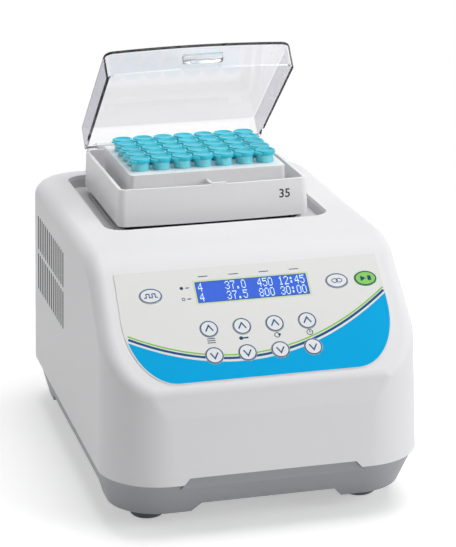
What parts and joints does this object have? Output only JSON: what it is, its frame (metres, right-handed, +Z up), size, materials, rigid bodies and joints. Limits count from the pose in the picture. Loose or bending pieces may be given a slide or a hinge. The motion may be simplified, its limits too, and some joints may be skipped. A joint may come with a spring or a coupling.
{
  "type": "heated and cooled orbital shaker with interchangeable tube block",
  "caption": "Bench thermo shaker: sloped key panel with display, well with an orbiting tray, heated tube block and clear hinged lid.",
  "frame": {"origin": "centre of the footprint on the bench, under the rubber feet", "axes": "+Z up; -Y is the front with the sloped panel; +X is to the right seen from the front"},
  "size_m": [0.216, 0.318, 0.2854],
  "materials": {
    "case_plastic": "fine satin moulded case, off-white",
    "base_plastic": "satin grey moulded base",
    "foot_rubber": "matt grey rubber",
    "screw_steel": "zinc plated steel",
    "sheet_steel": "plain zinc sheet",
    "bare_aluminium": "bare milled aluminium",
    "block_aluminium": "silver anodised aluminium",
    "tile_white": "white ceramic tile",
    "dark_plastic": "black moulded plastic",
    "tray_plastic": "semi-gloss off-white plastic",
    "tube_plastic": "tinted polypropylene",
    "cap_plastic": "light blue polypropylene",
    "clear_plastic": "clear polycarbonate",
    "overlay_film": "printed polyester film",
    "display_blue": "blue backlit display lens",
    "board_green": "green solder mask",
    "key_pale": "pale embossed key",
    "key_green": "green embossed key"
  },
  "bodies": {
    "root": {"upper_housing": "case_plastic", "well_pan": "case_plastic", "rear_bay": "case_plastic", "base_tray": "base_plastic", "rubber_feet": "foot_rubber", "case_screws": "screw_steel", "chassis_plate": "sheet_steel", "chassis_screws": "screw_steel", "deck_pillars": "bare_aluminium", "bearing_deck": "bare_aluminium", "deck_screws": "screw_steel", "deck_bearings": "screw_steel", "shaker_motor": "sheet_steel", "panel_overlay": "overlay_film", "display_window": "display_blue", "display_module": "dark_plastic", "control_board": "board_green", "board_screws": "screw_steel", "key_switches": "dark_plastic", "fan_frame": "dark_plastic", "fan_screws": "screw_steel", "power_inlet": "dark_plastic", "switch_frame": "dark_plastic", "power_supply": "sheet_steel", "driver_board": "board_green"},
    "crank": {"eccentric_shaft": "screw_steel", "counterweight": "screw_steel"},
    "platform": {"orbit_platform": "bare_aluminium", "platform_bearings": "screw_steel", "heat_sink": "bare_aluminium", "peltier_modules": "tile_white", "block_seat": "bare_aluminium", "insulation_frame": "dark_plastic", "block_tray": "tray_plastic", "tray_screws": "screw_steel", "hinge_pins": "screw_steel", "tube_block": "block_aluminium", "sample_tubes": "tube_plastic", "tube_caps": "cap_plastic"},
    "lid": {"lid_cover": "clear_plastic", "lid_latch": "clear_plastic"},
    "fan": {"fan_rotor": "dark_plastic"},
    "rocker": {"power_rocker": "dark_plastic"},
    "idler_left_front": {"idler_crank_left_front": "screw_steel"},
    "idler_left_rear": {"idler_crank_left_rear": "screw_steel"},
    "idler_right_front": {"idler_crank_right_front": "screw_steel"},
    "idler_right_rear": {"idler_crank_right_rear": "screw_steel"},
    "key_up_1": {"key_up_1": "key_pale"},
    "key_down_1": {"key_down_1": "key_pale"},
    "key_up_2": {"key_up_2": "key_pale"},
    "key_down_2": {"key_down_2": "key_pale"},
    "key_up_3": {"key_up_3": "key_pale"},
    "key_down_3": {"key_down_3": "key_pale"},
    "key_up_4": {"key_up_4": "key_pale"},
    "key_down_4": {"key_down_4": "key_pale"},
    "key_pulse": {"key_pulse": "key_pale"},
    "key_link": {"key_link": "key_pale"},
    "key_start": {"key_start": "key_green"}
  },
  "joints": [
    {"name": "crank_spin", "type": "hinge", "parent": "root", "child": "crank", "pos_m": [0, 0.0546, 0.105], "axis": [0, 0, 1], "continuous": true},
    {"name": "platform_orbit", "type": "hinge", "parent": "crank", "child": "platform", "pos_m": [0.0015, 0.0546, 0.115], "axis": [0, 0, 1], "continuous": true},
    {"name": "lid_hinge", "type": "hinge", "parent": "platform", "child": "lid", "pos_m": [0, 0.1186, 0.197], "axis": [-1, 0, 0], "range_deg": [-38, 52]},
    {"name": "fan_spin", "type": "hinge", "parent": "root", "child": "fan", "pos_m": [-0.036, 0.143, 0.1], "axis": [0, 1, 0], "continuous": true},
    {"name": "power_rocker_tilt", "type": "hinge", "parent": "root", "child": "rocker", "pos_m": [0.055, 0.1512, 0.076], "axis": [-1, 0, 0], "range_deg": [0, 20]},
    {"name": "idler_left_front_spin", "type": "hinge", "parent": "root", "child": "idler_left_front", "pos_m": [-0.052, 0.0146, 0.105], "axis": [0, 0, 1], "continuous": true},
    {"name": "idler_left_rear_spin", "type": "hinge", "parent": "root", "child": "idler_left_rear", "pos_m": [-0.052, 0.0946, 0.105], "axis": [0, 0, 1], "continuous": true},
    {"name": "idler_right_front_spin", "type": "hinge", "parent": "root", "child": "idler_right_front", "pos_m": [0.052, 0.0146, 0.105], "axis": [0, 0, 1], "continuous": true},
    {"name": "idler_right_rear_spin", "type": "hinge", "parent": "root", "child": "idler_right_rear", "pos_m": [0.052, 0.0946, 0.105], "axis": [0, 0, 1], "continuous": true},
    {"name": "key_up_1_press", "type": "slide", "parent": "root", "child": "key_up_1", "axis": [0, 0.6845, -0.729], "range_m": [0, 0.0005], "stiffness_N_per_m": 400},
    {"name": "key_down_1_press", "type": "slide", "parent": "root", "child": "key_down_1", "axis": [0, 0.6845, -0.729], "range_m": [0, 0.0005], "stiffness_N_per_m": 400},
    {"name": "key_up_2_press", "type": "slide", "parent": "root", "child": "key_up_2", "axis": [0, 0.6845, -0.729], "range_m": [0, 0.0005], "stiffness_N_per_m": 400},
    {"name": "key_down_2_press", "type": "slide", "parent": "root", "child": "key_down_2", "axis": [0, 0.6845, -0.729], "range_m": [0, 0.0005], "stiffness_N_per_m": 400},
    {"name": "key_up_3_press", "type": "slide", "parent": "root", "child": "key_up_3", "axis": [0, 0.6845, -0.729], "range_m": [0, 0.0005], "stiffness_N_per_m": 400},
    {"name": "key_down_3_press", "type": "slide", "parent": "root", "child": "key_down_3", "axis": [0, 0.6845, -0.729], "range_m": [0, 0.0005], "stiffness_N_per_m": 400},
    {"name": "key_up_4_press", "type": "slide", "parent": "root", "child": "key_up_4", "axis": [0, 0.6845, -0.729], "range_m": [0, 0.0005], "stiffness_N_per_m": 400},
    {"name": "key_down_4_press", "type": "slide", "parent": "root", "child": "key_down_4", "axis": [0, 0.6845, -0.729], "range_m": [0, 0.0005], "stiffness_N_per_m": 400},
    {"name": "key_pulse_press", "type": "slide", "parent": "root", "child": "key_pulse", "axis": [0, 0.6845, -0.729], "range_m": [0, 0.0005], "stiffness_N_per_m": 400},
    {"name": "key_link_press", "type": "slide", "parent": "root", "child": "key_link", "axis": [0, 0.6845, -0.729], "range_m": [0, 0.0005], "stiffness_N_per_m": 400},
    {"name": "key_start_press", "type": "slide", "parent": "root", "child": "key_start", "axis": [0, 0.6845, -0.729], "range_m": [0, 0.0005], "stiffness_N_per_m": 400}
  ],
  "couplings": [
    {"joint": "platform_orbit", "follows": "crank_spin", "ratio": -1},
    {"joint": "idler_left_front_spin", "follows": "crank_spin", "ratio": 1},
    {"joint": "idler_left_rear_spin", "follows": "crank_spin", "ratio": 1},
    {"joint": "idler_right_front_spin", "follows": "crank_spin", "ratio": 1},
    {"joint": "idler_right_rear_spin", "follows": "crank_spin", "ratio": 1}
  ]
}
